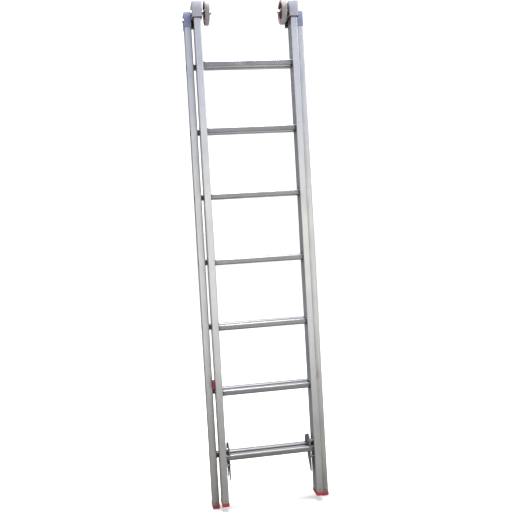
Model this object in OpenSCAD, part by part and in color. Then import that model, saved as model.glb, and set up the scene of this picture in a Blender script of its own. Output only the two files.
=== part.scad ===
// Two-section aluminium extension ladder, shown closed.
// X runs across the ladder, Y from the climbing side to the back, Z up.
// The origin is on the ground, at the middle of the closed ladder's depth and width.
// The fly section is the narrow one in front; it slides up between the stiles of the base.

/* [Sections] */
// Rungs in each section
rung_count = 7; // [5:1:12]
// Height from one rung to the next
rung_pitch = 280; // [240:1:340]
// Width across the outside of the fly stiles
fly_width = 441; // [340:1:560]
// Clear gap between a fly stile and a base stile, each side
side_gap = 9; // [7:0.5:16]
// Gap between the back of a fly stile and the front of a base rung
nest_gap = 3; // [2:0.5:8]
// Height of the lowest rung's centre above the ground
bottom_run = 226; // [180:1:290]
// Height of the base's top above its highest rung's centre
top_run = 228; // [190:1:290]
// How much higher the fly stands than the base
fly_lift = 24; // [10:1:40]

/* [Stiles] */
// Face width of a stile
stile_w = 28; // [22:0.5:36]
// Depth of a stile
stile_d = 64; // [52:1:80]
// Wall thickness of a stile
stile_wall = 2; // [1.5:0.1:3]
// Corner radius of a stile
stile_r = 3; // [2:0.5:5]
// Width of the guide channel in the base stile
channel_w = 8; // [6:0.5:10]
// Depth of the guide channel
channel_d = 5; // [3:0.5:7]

/* [Rungs] */
// Depth of a rung, front to back
rung_d = 30; // [24:0.5:40]
// Height of a rung
rung_h = 24; // [20:0.5:32]
// Corner radius of a rung
rung_r = 6; // [4:0.5:9]
// Wall thickness of a rung
rung_wall = 1.8; // [1.2:0.1:3]
// Grip grooves along the tread
groove_count = 4; // [2:1:6]
// Width and depth of a grip groove
groove = 1; // [0.6:0.1:1.4]
// Thickness of the swaged bead against the stile's inner face
bead_t = 3; // [2:0.5:4]
// How far the bead stands out round the rung
bead_out = 2.5; // [1.5:0.5:4]

/* [Feet] */
// Height of a foot cap
foot_h = 16; // [12:1:24]
// Thickness of a foot cap's wall round the stile
foot_wall = 1.5; // [1:0.1:2.5]
// Thickness of the sole
foot_sole = 5; // [4:0.5:8]
// Depth of a plug inside a stile end
plug_h = 36; // [28:1:50]

/* [Top of the fly] */
// Height of a wheel bracket
bracket_h = 64; // [56:1:80]
// Sheet thickness of a wheel bracket
bracket_t = 3; // [2:0.5:5]
// Thickness of the bracket's nylon liner
liner_t = 4; // [3:0.5:6]
// How far the liner shows below the bracket
liner_show = 2; // [1:0.5:4]
// Height of the axle above the bracket's bottom edge
axle_up = 27; // [24:1:32]

/* [Wheels] */
// Tyre diameter
wheel_dia = 104; // [84:1:124]
// Tyre width
wheel_w = 19.5; // [16:0.5:26]
// Hub disc diameter
hub_dia = 80; // [60:1:80]
// Distance from the stile's inner face to the wheel
wheel_gap = 18; // [14:0.5:28]
// Axle bolt diameter
axle_dia = 10; // [8:1:12]

/* [Top of the base] */
// Height of the sleeve on a base stile
sleeve_h = 60; // [50:1:80]
// Sheet thickness of the sleeve
sleeve_t = 2; // [1.5:0.5:3]
// Thickness of the end cap's plate
cap_t = 3; // [2:0.5:4]
// Height of a rubber stop under a wheel bracket
stop_h = 25; // [18:1:36]
// Diameter of the sleeve bolt
bolt_dia = 8; // [6:1:8]

/* [Hooks] */
// Thickness of a hook plate
hook_t = 4; // [3:0.5:6]
// Distance from the stile's inner face to the hook plate
hook_gap = 12.5; // [11:0.5:16]
// Height of the hook plate above the rung's centre
hook_up = 60; // [50:1:72]
// Depth of the hook plate below the rung's centre
hook_down = 98; // [84:1:110]
// Clearance between the hook's mouth and the base rung
mouth_gap = 0.6; // [0.4:0.1:1.5]
// Thickness of the catch
catch_t = 4; // [3:0.5:5]
// Length of the catch from its pin to its tip
catch_len = 58; // [44:1:66]
// Diameter of the catch pin
pin_dia = 6; // [5:0.5:8]

/* [Slide blocks] */
// Height of a slide block
block_h = 32; // [24:1:50]
// Depth of a slide block
block_d = 36; // [28:1:40]
// Height of the block's lower edge above the second rung's top
block_up = 8; // [5:1:16]

/* [Hidden] */
// Clearances of fits, sliding faces and free gaps
fit = 0.05;
slack = 0.3;
spin_clear = 0.05;
eps = 1;
$fn = 48;

// Depth places: the section's front faces, with the rung in the middle of each stile
section_offset = (stile_d + rung_d) / 2 + nest_gap;
wheel_r = wheel_dia / 2;
wheel_front = max(wheel_r - stile_d / 2, bracket_t + liner_t);
total_depth = wheel_front + section_offset + stile_d + sleeve_t;
fly_y = wheel_front - total_depth / 2;
base_y = fly_y + section_offset;
fly_mid_y = fly_y + stile_d / 2;
base_mid_y = base_y + stile_d / 2;

// Half widths to the stiles' outer and inner faces
fly_out = fly_width / 2;
fly_in = fly_out - stile_w;
base_in = fly_out + side_gap;
base_out = base_in + stile_w;

// Heights
rung_zs = [for (i = [0 : rung_count - 1]) bottom_run + i * rung_pitch];
base_top = rung_zs[rung_count - 1] + top_run;
base_stile_bottom = foot_sole;
base_stile_top = base_top - cap_t;
fly_top = base_top + fly_lift + 2;
fly_bottom = fly_lift;
fly_stile_bottom = fly_bottom + foot_sole;
fly_stile_top = fly_top - bracket_t - liner_t - fit;
bracket_bottom = fly_top - bracket_h;
axle_z = bracket_bottom + axle_up;
wrap = bracket_t + liner_t;
stop_top = bracket_bottom - slack;
cap_plug_h = sleeve_h / 4;
sleeve_bolt_z = (base_stile_top - cap_plug_h + stop_top) / 2;
stop_screw_z = stop_top - stop_h / 2;
inner_r = max(stile_r - stile_wall, 0.5);

// Guide channel, in the strip of the base stile that faces the fly stile
channel_y = (stile_d - section_offset) / 2;
lip_t = 1;

// Fasteners
axle_r = axle_dia / 2;
axle_head_r = axle_dia * 0.95;
axle_head_h = axle_dia * 0.6;
axle_nut_h = axle_dia * 0.8;
washer_t = 1.6;
spacer_wall = 4;
bolt_r = bolt_dia / 2;
bolt_head_r = bolt_dia * 0.94;
bolt_head_h = bolt_dia * 0.65;
rivet_r = 2.4;
rivet_head_r = 4;
rivet_head_h = 1.2;
foot_rivet_up = 12;
hook_rivet_r = 4;
hook_rivet_head_r = 7;
hook_rivet_head_h = 3;
hook_spacer_r = 7;
pin_r = pin_dia / 2;
pin_head_r = pin_r + 2;
pin_head_h = 2;
screw_r = 2;
screw_head_r = 4;
screw_head_h = 1.5;
screw_len = 8;
stop_back = 8;

// Wheel faces, counted inwards from the fly stile's inner face
wheel_out_x = fly_in - wheel_gap;
wheel_in_x = wheel_out_x - wheel_w;
bush_wall = 3;
hub_boss_wall = 6;
hub_web_t = 6;
hub_rim_t = 6;
hub_inset = 1;
hub_ribs = 6;
rib_t = 4;
tyre_round = 4;

// Hook: places in Y from the fly's front face and in Z from the rung's centre
hook_x = fly_in - hook_gap;
rung_front = (stile_d - rung_d) / 2;
base_rung_front = section_offset + rung_front;
mouth_front = base_rung_front - mouth_gap;
mouth_back = base_rung_front + rung_d + mouth_gap;
mouth_top = rung_h / 2 + mouth_gap;
finger_t = 8;
finger_down = 8;
hook_front = rung_front - 1;
pin_y = mouth_front - 10;
pin_z = -rung_h / 2 - 18;
hook_rivet_y = stile_d / 2 - 2;
hook_rivet_high = rung_h / 2 + 22;
hook_rivet_low = -rung_h / 2 - 22;
catch_head_r = 10;
catch_tip_r = 4;
mouth_lead = 8;

// Slide block
block_back = stile_d - 2;
block_z = rung_zs[1] + rung_h / 2 + block_up;
tongue_d = channel_d - 0.5;

SIDES = ["left", "right"];

// ---------- Helpers ----------

// Puts right-hand geometry on the named side
module on_side(side) {
    mirror([side == "left" ? 1 : 0, 0, 0]) children();
}

module both_sides() {
    for (side = SIDES) on_side(side) children();
}

// Box given by its low and high corners
module box(low, high) {
    translate(low) cube(high - low);
}

// Rectangle with round corners, its low corner at the origin
module round_rect(size, r) {
    translate([r, 0]) square([size.x - 2 * r, size.y]);
    translate([0, r]) square([size.x, size.y - 2 * r]);
    for (x = [r, size.x - r], y = [r, size.y - r]) translate([x, y]) circle(r);
}

// Cylinder along +X from x0 to x1
module rod(x0, x1, y, z, r, sides = $fn) {
    translate([x0, y, z]) rotate([0, 90, 0]) cylinder(h = x1 - x0, r = r, $fn = sides);
}

// Flat outline drawn in Y and Z, given thickness along X from x0 to x1
module plate(x0, x1) {
    translate([x0, 0, 0]) rotate([90, 0, 90]) linear_extrude(x1 - x0) children();
}

// Ring along X
module ring(x0, x1, y, z, r_in, r_out, sides = $fn) {
    difference() {
        rod(x0, x1, y, z, r_out, sides);
        rod(x0 - eps, x1 + eps, y, z, r_in);
    }
}

// ---------- Stiles ----------

module rung_outline(grow = 0) {
    translate([-rung_d / 2 - grow, -rung_h / 2 - grow])
        round_rect([rung_d + 2 * grow, rung_h + 2 * grow], rung_r + grow);
}

module stile_ring() {
    difference() {
        round_rect([stile_w, stile_d], stile_r);
        translate([stile_wall, stile_wall])
            round_rect([stile_w - 2 * stile_wall, stile_d - 2 * stile_wall], inner_r);
    }
}

module channel_wall(grow = 0) {
    translate([-grow, channel_y - channel_w / 2 - stile_wall - grow])
        square([channel_d + stile_wall + 2 * grow, channel_w + 2 * stile_wall + 2 * grow]);
}

// Base profile: a closed box with a guide channel let into its inner face
module base_profile() {
    difference() {
        union() {
            stile_ring();
            channel_wall();
        }
        translate([-eps, channel_y - channel_w / 2]) square([channel_d + eps, channel_w]);
    }
}

module rung_holes(x_in, y_mid) {
    for (z = rung_zs)
        translate([0, y_mid, z]) plate(x_in - eps, x_in + stile_w + eps) rung_outline(fit);
}

module base_stile(side) {
    color("silver") on_side(side) difference() {
        translate([base_in, base_y, base_stile_bottom])
            linear_extrude(base_stile_top - base_stile_bottom) base_profile();
        rung_holes(base_in, base_mid_y);
        foot_rivet(base_in, base_y, 0, fit);
        rod(base_in - eps, base_out + eps, base_mid_y, sleeve_bolt_z, bolt_r + 2 * fit);
        stop_screw(fit);
    }
}

module fly_stile(side) {
    color("gainsboro") on_side(side) difference() {
        translate([fly_in, fly_y, fly_stile_bottom])
            linear_extrude(fly_stile_top - fly_stile_bottom) stile_ring();
        rung_holes(fly_in, fly_mid_y);
        foot_rivet(fly_in, fly_y, fly_lift, fit);
        rod(fly_in - eps, fly_out + eps, fly_mid_y, axle_z, axle_r + 2 * fit);
        hook_rivet_pair(fit);
        block_screw_pair(fit);
    }
}

// ---------- Rungs ----------

// Hollow rung swaged into both stiles: a bead inside each stile, a thin lip outside
module rung(half_out, y_mid, z) {
    half_in = half_out - stile_w;
    tread = rung_d - 2 * rung_r;
    color("lightgray") translate([0, y_mid, z]) difference() {
        union() {
            plate(-half_out - lip_t, half_out + lip_t) rung_outline();
            for (m = [0, 1]) mirror([m, 0, 0]) {
                plate(half_in - bead_t, half_in) rung_outline(bead_out);
                plate(half_out, half_out + lip_t) rung_outline(bead_out / 2);
            }
        }
        plate(-half_out - eps - lip_t, half_out + eps + lip_t) rung_outline(-rung_wall);
        for (i = [0 : groove_count - 1])
            translate([0, (i - (groove_count - 1) / 2) * tread / groove_count, rung_h / 2 - groove / 2])
                cube([2 * (half_in - bead_t - eps), groove, groove + fit], center = true);
    }
}

// ---------- Feet ----------

// Rivet through the front wall of a stile into the foot's plug
module foot_rivet(x_in, y_front, lift, grow = 0) {
    translate([x_in + stile_w / 2, y_front, lift + foot_h + foot_rivet_up]) rotate([-90, 0, 0]) {
        translate([0, 0, -rivet_head_h]) cylinder(h = rivet_head_h, r = rivet_head_r);
        translate([0, 0, -fit]) cylinder(h = stile_wall + 8 + fit, r = rivet_r + grow);
    }
}

// Cap round a stile's lower end, with a plug inside it; has_channel makes room for the guide channel
module foot(x_in, y_front, z, has_channel) {
    plug_in = stile_wall + fit;
    difference() {
        translate([x_in, y_front, z]) {
            difference() {
                translate([-foot_wall, -foot_wall])
                    linear_extrude(foot_h)
                    round_rect([stile_w + 2 * foot_wall, stile_d + 2 * foot_wall], stile_r + foot_wall);
                translate([-fit, -fit, foot_sole])
                    linear_extrude(foot_h)
                    round_rect([stile_w + 2 * fit, stile_d + 2 * fit], stile_r + fit);
                for (y = [0.2, 0.35, 0.65, 0.8])
                    translate([-foot_wall - eps, y * stile_d - 1, -eps])
                        cube([stile_w + 2 * foot_wall + 2 * eps, 2, 1.5 + eps]);
            }
            difference() {
                translate([plug_in, plug_in, foot_sole - fit])
                    linear_extrude(plug_h)
                    round_rect([stile_w - 2 * plug_in, stile_d - 2 * plug_in], inner_r);
                if (has_channel)
                    translate([0, 0, foot_sole]) linear_extrude(plug_h + eps) channel_wall(fit);
            }
        }
        foot_rivet(x_in, y_front, z, fit);
    }
}

module base_foot(side) {
    color("firebrick") on_side(side) foot(base_in, base_y, 0, true);
}

module fly_foot(side) {
    color("firebrick") on_side(side) foot(fly_in, fly_y, fly_bottom, false);
}

module base_foot_rivets() {
    color("silver") both_sides() foot_rivet(base_in, base_y, 0);
}

module fly_foot_rivets() {
    color("silver") both_sides() foot_rivet(fly_in, fly_y, fly_lift);
}

// ---------- Top of the base ----------

module base_cap(side) {
    plug_in = stile_wall + fit;
    color("slategray") on_side(side) translate([base_in, base_y, base_stile_top]) {
        linear_extrude(cap_t) round_rect([stile_w, stile_d], stile_r);
        difference() {
            translate([plug_in, plug_in, -cap_plug_h])
                linear_extrude(cap_plug_h + fit)
                round_rect([stile_w - 2 * plug_in, stile_d - 2 * plug_in], inner_r);
            translate([0, 0, -cap_plug_h - eps]) linear_extrude(cap_plug_h + eps) channel_wall(fit);
        }
    }
}

// Folded sheet round the front, outside and back of the base stile's top
module base_sleeve(side) {
    color("lightsteelblue") on_side(side) difference() {
        box([base_in, base_y - sleeve_t, base_stile_top - sleeve_h],
            [base_out + sleeve_t, base_y + stile_d + sleeve_t, base_stile_top]);
        box([base_in - eps, base_y - fit, base_stile_top - sleeve_h - eps],
            [base_out + fit, base_y + stile_d + fit, base_stile_top + eps]);
        rod(base_out, base_out + sleeve_t + eps, base_mid_y, sleeve_bolt_z, bolt_r + 2 * fit);
    }
}

module sleeve_bolts() {
    head_x = base_out + sleeve_t;
    color("darkgray") both_sides() {
        rod(base_in - bolt_head_h - 2, head_x, base_mid_y, sleeve_bolt_z, bolt_r);
        rod(head_x, head_x + bolt_head_h, base_mid_y, sleeve_bolt_z, bolt_head_r, 6);
    }
}

module sleeve_nuts() {
    color("darkgray") both_sides()
        ring(base_in - bolt_head_h, base_in, base_mid_y, sleeve_bolt_z, bolt_r + fit, bolt_head_r, 6);
}

// Rubber stop on the base stile's inner face, behind the fly stile and under the wheel bracket
module stop(side) {
    stop_y = fly_y + stile_d + slack + fit;
    color("dimgray") on_side(side) difference() {
        box([fly_in - wrap, stop_y, stop_top - stop_h], [base_in, base_mid_y + stop_back, stop_top]);
        stop_screw(fit);
    }
}

module stop_screw(grow = 0) {
    rod(base_in - screw_len, base_in + stile_wall + grow, base_mid_y, stop_screw_z, screw_r + grow);
}

module stop_screws() {
    color("darkgray") both_sides() {
        stop_screw();
        rod(base_in + stile_wall, base_in + stile_wall + screw_head_h, base_mid_y, stop_screw_z, screw_head_r);
    }
}

// ---------- Top of the fly ----------

// Folded bracket over the fly stile's top, open at the back and below; it carries the axle
module wheel_bracket(side) {
    back = fly_y + stile_d + 6;
    color("gainsboro") on_side(side) difference() {
        box([fly_in - wrap, fly_y - wrap, bracket_bottom], [fly_out + wrap, back, fly_top]);
        box([fly_in - liner_t - fit, fly_y - liner_t - fit, bracket_bottom - eps],
            [fly_out + liner_t + fit, back + eps, fly_top - bracket_t]);
        rod(fly_in - wrap - eps, fly_out + wrap + eps, fly_mid_y, axle_z, axle_r + 2 * fit);
    }
}

// Nylon liner between the bracket and the stile
module bracket_liner(side) {
    color("darkred") on_side(side) difference() {
        box([fly_in - liner_t, fly_y - liner_t, bracket_bottom - liner_show],
            [fly_out + liner_t, fly_y + stile_d, fly_top - bracket_t - fit]);
        box([fly_in - fit, fly_y - fit, bracket_bottom - liner_show - eps],
            [fly_out + fit, fly_y + stile_d + eps, fly_top - bracket_t - liner_t]);
        rod(fly_in - wrap - eps, fly_out + wrap + eps, fly_mid_y, axle_z, axle_r + 2 * fit);
    }
}

module axle(side) {
    head_x = fly_out + wrap;
    tip_x = wheel_in_x - slack - washer_t - axle_nut_h - 3;
    color("silver") on_side(side) {
        rod(tip_x, head_x, fly_mid_y, axle_z, axle_r);
        rod(head_x, head_x + axle_head_h, fly_mid_y, axle_z, axle_head_r, 6);
    }
}

module axle_spacers() {
    color("whitesmoke") both_sides()
        ring(wheel_out_x + slack, fly_in - wrap, fly_mid_y, axle_z, axle_r + fit, axle_r + spacer_wall);
}

module axle_washers() {
    color("silver") both_sides()
        ring(wheel_in_x - slack - washer_t, wheel_in_x - slack, fly_mid_y, axle_z,
            axle_r + fit, axle_r + spacer_wall + 1);
}

module axle_nuts() {
    nut_x = wheel_in_x - slack - washer_t;
    color("silver") both_sides()
        ring(nut_x - axle_nut_h, nut_x, fly_mid_y, axle_z, axle_r + fit, axle_head_r, 6);
}

// ---------- Wheels ----------

// Turns a half profile, drawn as radius and width, about the axle
module turned() {
    translate([wheel_in_x, fly_mid_y, axle_z]) rotate([0, 90, 0]) rotate_extrude() children();
}

module hub(side) {
    bore_r = axle_r + spin_clear + bush_wall;
    hub_r = hub_dia / 2;
    color("darkred") on_side(side) {
        turned() {
            translate([bore_r, 0]) square([hub_boss_wall, wheel_w]);
            translate([bore_r, (wheel_w - hub_web_t) / 2]) square([hub_r - bore_r, hub_web_t]);
            translate([hub_r - hub_rim_t, hub_inset]) square([hub_rim_t, wheel_w - 2 * hub_inset]);
        }
        for (i = [0 : hub_ribs - 1])
            translate([wheel_in_x, fly_mid_y, axle_z]) rotate([i * 360 / hub_ribs, 0, 0])
                box([hub_inset + 2, -rib_t / 2, bore_r + hub_boss_wall - 1],
                    [wheel_w - hub_inset - 2, rib_t / 2, hub_r - hub_rim_t + 1]);
    }
}

module tyre(side) {
    color("darkgray") on_side(side) turned()
        difference() {
            translate([hub_dia / 2 - tyre_round, 0])
                round_rect([wheel_r - hub_dia / 2 + tyre_round, wheel_w], tyre_round);
            translate([hub_dia / 2 - tyre_round - eps, -eps]) square([tyre_round + eps, wheel_w + 2 * eps]);
        }
}

module hub_bush(side) {
    color("whitesmoke") on_side(side)
        ring(wheel_in_x, wheel_out_x, fly_mid_y, axle_z, axle_r + spin_clear,
            axle_r + spin_clear + bush_wall);
}

// ---------- Slide blocks ----------

// Nylon block on the fly stile's outer face; its tongue runs in the base stile's channel
module slide_block(side) {
    tongue_y = base_y + channel_y;
    tongue_w = channel_w - 2 * slack;
    color("crimson") on_side(side) difference() {
        union() {
            box([fly_out, fly_y + block_back - block_d, block_z],
                [base_in - slack, fly_y + block_back, block_z + block_h]);
            box([base_in - slack - eps, tongue_y - tongue_w / 2, block_z],
                [base_in + tongue_d - slack, tongue_y + tongue_w / 2, block_z + block_h]);
        }
        block_screw_pair(fit);
        block_screw_heads(fit);
    }
}

function block_screw_zs() = [block_z + block_h * 0.25, block_z + block_h * 0.75];

module block_screw_pair(grow = 0) {
    for (z = block_screw_zs())
        rod(fly_out - screw_len, base_in - slack - screw_head_h, fly_y + block_back - block_d + 8, z,
            screw_r + grow);
}

module block_screw_heads(grow = 0) {
    for (z = block_screw_zs())
        rod(base_in - slack - screw_head_h - grow, base_in - slack + grow,
            fly_y + block_back - block_d + 8, z, screw_head_r + grow);
}

module block_screws() {
    color("silver") both_sides() {
        block_screw_pair();
        block_screw_heads();
    }
}

// ---------- Hooks ----------

// Moves from the fly's lowest rung centre, with Y counted from the fly's front face
module at_hook() {
    translate([0, fly_y, rung_zs[0]]) children();
}

module hook_outline() {
    finger_back = mouth_back + finger_t;
    difference() {
        polygon([
            [hook_front, -hook_down], [hook_front + 14, -hook_down], [mouth_front, -hook_down * 0.42],
            [mouth_front, mouth_top], [mouth_back, mouth_top], [mouth_back, -finger_down + 4],
            [mouth_back + 3, -finger_down - 2], [finger_back, -finger_down - 2],
            [finger_back, hook_up * 0.45], [finger_back - 12, hook_up * 0.7],
            [stile_d * 0.78, hook_up], [stile_d * 0.45, hook_up], [hook_front, hook_up * 0.7]
        ]);
        translate([stile_d / 2, 0]) rung_outline(fit);
        for (z = [hook_rivet_low, hook_rivet_high])
            translate([hook_rivet_y, z]) circle(hook_rivet_r + fit);
        translate([pin_y, pin_z]) circle(pin_r + fit);
    }
}

module hook(side) {
    color("slategray") on_side(side) at_hook() plate(hook_x - hook_t, hook_x) hook_outline();
}

module hook_rivet_pair(grow = 0) {
    at_hook() for (z = [hook_rivet_low, hook_rivet_high])
        rod(hook_x - hook_t, fly_in + stile_wall + grow, hook_rivet_y, z, hook_rivet_r + grow);
}

module hook_rivets() {
    color("silver") both_sides() {
        hook_rivet_pair();
        at_hook() for (z = [hook_rivet_low, hook_rivet_high]) {
            rod(hook_x - hook_t - hook_rivet_head_h, hook_x - hook_t, hook_rivet_y, z, hook_rivet_head_r);
            rod(fly_in + stile_wall, fly_in + stile_wall + 2, hook_rivet_y, z, hook_rivet_head_r);
        }
    }
}

module hook_spacers() {
    color("silver") both_sides() at_hook() for (z = [hook_rivet_low, hook_rivet_high])
        ring(hook_x, fly_in, hook_rivet_y, z, hook_rivet_r + fit, hook_spacer_r);
}

module catch_pins() {
    catch_in = hook_x + slack;
    end_x = catch_in + catch_t + slack;
    color("silver") both_sides() at_hook() {
        rod(hook_x - hook_t, end_x, pin_y, pin_z, pin_r);
        rod(hook_x - hook_t - pin_head_h, hook_x - hook_t, pin_y, pin_z, pin_head_r);
        rod(end_x, end_x + pin_head_h, pin_y, pin_z, pin_head_r);
    }
}

// Safety catch that hangs from its pin, below the hook's mouth
module catch_outline() {
    difference() {
        hull() {
            circle(catch_head_r, $fn = 32);
            translate([0, -catch_len]) circle(catch_tip_r, $fn = 32);
        }
        circle(pin_r + spin_clear);
    }
}

module catch(side) {
    catch_in = hook_x + slack;
    color("gray") on_side(side) at_hook() translate([0, pin_y, pin_z])
        plate(catch_in, catch_in + catch_t) catch_outline();
}

// ---------- The nodes ----------

base_foot_rivets();
sleeve_bolts();
sleeve_nuts();
stop_screws();
fly_foot_rivets();
block_screws();
hook_rivets();
hook_spacers();
catch_pins();
axle_spacers();
axle_washers();
axle_nuts();
for (i = [1 : rung_count]) {
    rung(base_out, base_mid_y, rung_zs[i - 1]);
    rung(fly_out, fly_mid_y, rung_zs[i - 1]);
}
for (s = SIDES) {
    base_stile(s);
    base_foot(s);
    base_cap(s);
    base_sleeve(s);
    stop(s);
    fly_stile(s);
    fly_foot(s);
    wheel_bracket(s);
    bracket_liner(s);
    slide_block(s);
    hook(s);
    axle(s);
    tyre(s);
    hub(s);
    hub_bush(s);
    catch(s);
}
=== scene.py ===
"""Two-section aluminium extension ladder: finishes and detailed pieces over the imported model."""

from __future__ import annotations

import logging
import math
from dataclasses import dataclass, field
from enum import Enum
from typing import Any, Callable, Sequence

import bmesh
import bpy
from mathutils import Matrix, Vector

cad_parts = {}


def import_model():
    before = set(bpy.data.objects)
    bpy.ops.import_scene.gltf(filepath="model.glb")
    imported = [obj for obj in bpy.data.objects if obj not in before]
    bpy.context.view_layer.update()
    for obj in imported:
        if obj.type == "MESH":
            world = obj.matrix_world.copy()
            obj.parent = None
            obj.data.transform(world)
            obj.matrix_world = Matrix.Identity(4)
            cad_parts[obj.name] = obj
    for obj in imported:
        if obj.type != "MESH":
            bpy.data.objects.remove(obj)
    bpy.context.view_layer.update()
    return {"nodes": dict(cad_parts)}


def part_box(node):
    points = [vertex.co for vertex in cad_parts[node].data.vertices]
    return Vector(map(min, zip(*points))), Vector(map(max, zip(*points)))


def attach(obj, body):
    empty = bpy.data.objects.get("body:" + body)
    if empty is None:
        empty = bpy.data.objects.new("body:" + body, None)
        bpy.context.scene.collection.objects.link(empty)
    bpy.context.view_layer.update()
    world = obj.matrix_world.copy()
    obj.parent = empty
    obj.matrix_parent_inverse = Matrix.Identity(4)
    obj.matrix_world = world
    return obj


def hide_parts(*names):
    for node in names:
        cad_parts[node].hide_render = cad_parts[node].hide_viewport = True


LOG = logging.getLogger("ladder")
MM = 0.001
SIDES = ("left", "right")
RUNGS = range(1, 8)
SECTIONS = ("base", "fly")

Outline = list[tuple[float, float]]
Loop = list[Vector]


class Axis(Enum):
    """The direction that an outline is given its thickness along, or a grain runs along."""

    X = "x"
    Y = "y"
    Z = "z"

    def lift(self, u: float, v: float, t: float) -> Vector:
        """Place an outline's point (u, v) at distance t along the axis."""
        return Vector({Axis.X: (t, u, v), Axis.Y: (u, t, v), Axis.Z: (u, v, t)}[self])

    def stretched(self, amount: float) -> tuple[float, float, float]:
        """Give a texture scale that draws a pattern out along the axis."""
        return tuple(amount if self is axis else 1.0 for axis in Axis)


# ---------- Materials ----------


def to_linear(code: str) -> tuple[float, float, float, float]:
    """Turn an sRGB hex colour into the linear colour that shaders use.

    Args:
        code: Six hex digits after a hash sign.

    Returns:
        Linear red, green, blue and an alpha of one.
    """
    parts = [int(code[i : i + 2], 16) / 255 for i in (1, 3, 5)]
    linear = [p / 12.92 if p <= 0.04045 else ((p + 0.055) / 1.055) ** 2.4 for p in parts]
    return (*linear, 1.0)


def add_node(
    tree: bpy.types.NodeTree, kind: str, inputs: dict[Any, Any], output: int | str = 0, **settings: Any
) -> bpy.types.NodeSocket:
    """Add a node, set it up and link it.

    Args:
        tree: The node tree that the node goes in.
        kind: The node's type name.
        inputs: Socket name or index to a value, or to an output socket to link from.
        output: Name or index of the output that is wanted.
        settings: Attributes of the node itself.

    Returns:
        The wanted output socket.
    """
    node = tree.nodes.new(kind)
    for key, value in settings.items():
        setattr(node, key, value)
    for key, value in inputs.items():
        if isinstance(value, bpy.types.NodeSocket):
            tree.links.new(value, node.inputs[key])
        else:
            node.inputs[key].default_value = value
    return node.outputs[output]


@dataclass(frozen=True)
class Layer:
    """One tint over a surface: its colour, and how a pattern's values turn into its share."""

    colour: str
    low: float
    high: float
    start: float
    end: float

    def over(self, tree: bpy.types.NodeTree, pattern: bpy.types.NodeSocket, under: Any) -> bpy.types.NodeSocket:
        """Lay the tint over what is under it.

        Args:
            tree: The material's node tree.
            pattern: The values that say where the tint lies.
            under: The colour underneath, or the output that gives it.

        Returns:
            The blended colour.
        """
        values = {0: pattern, 1: self.low, 2: self.high, 3: self.start, 4: self.end}
        share = add_node(tree, "ShaderNodeMapRange", values, clamp=True)
        colours = {0: share, 6: under, 7: to_linear(self.colour)}
        return add_node(tree, "ShaderNodeMix", colours, 2, data_type="RGBA")


@dataclass(frozen=True)
class Finish:
    """What every finish has: a name, a main colour and the shader that it ends in."""

    name: str
    colour: str

    def start(self) -> tuple[bpy.types.Material, bpy.types.NodeSocket]:
        """Make an empty material.

        Returns:
            The material, and its coordinates in metres.
        """
        material = bpy.data.materials.new(self.name)
        material.use_nodes = True
        return material, add_node(material.node_tree, "ShaderNodeTexCoord", {}, "Object")

    def close(
        self, material: bpy.types.Material, linked: dict[str, bpy.types.NodeSocket], even: dict[str, float]
    ) -> bpy.types.Material:
        """Set the shader up.

        Args:
            material: The material.
            linked: Shader socket name to the output that feeds it.
            even: Shader socket name to a value that is the same all over the surface.

        Returns:
            The finished material.
        """
        shader = material.node_tree.nodes["Principled BSDF"]
        for key, value in even.items():
            shader.inputs[key].default_value = value
        for key, socket in linked.items():
            material.node_tree.links.new(socket, shader.inputs[key])
        return material


@dataclass(frozen=True)
class CoatedFinish(Finish):
    """A finish whose noises tint it, vary its gloss and give it relief, with another tint on its edges."""

    rough: tuple[float, float] = (0.4, 0.6)
    relief_mm: float = 0.1

    def coated(
        self,
        patterns: dict[str, tuple[float, float]],
        layers: Sequence[tuple[str, Layer]],
        gloss: str,
        relief: tuple[str, float],
        even: dict[str, float],
    ) -> bpy.types.Material:
        """Make the material.

        Args:
            patterns: Each noise's name to its feature size in millimetres and its detail.
            layers: The tints from the lowest up, each with its pattern; "edge" is the piece's edges.
            gloss: The pattern that varies the roughness.
            relief: The pattern that gives the relief, and its strength.
            even: Shader values that are the same all over the surface.

        Returns:
            The finished material.
        """
        material, place = self.start()
        tree = material.node_tree
        values = {"edge": add_node(tree, "ShaderNodeNewGeometry", {}, "Pointiness")}
        for name, (size, detail) in patterns.items():
            spread = {"Vector": place, "Scale": 1 / (size * MM), "Detail": detail}
            values[name] = add_node(tree, "ShaderNodeTexNoise", spread)
        tint = to_linear(self.colour)
        for name, layer in layers:
            tint = layer.over(tree, values[name], tint)
        satin = {0: values[gloss], 1: 0.3, 2: 0.7, 3: self.rough[0], 4: self.rough[1]}
        bump = {"Height": values[relief[0]], "Strength": relief[1], "Distance": self.relief_mm * MM}
        linked = {
            "Base Color": tint,
            "Roughness": add_node(tree, "ShaderNodeMapRange", satin, clamp=True),
            "Normal": add_node(tree, "ShaderNodeBump", bump),
        }
        return self.close(material, linked, even)


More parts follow.
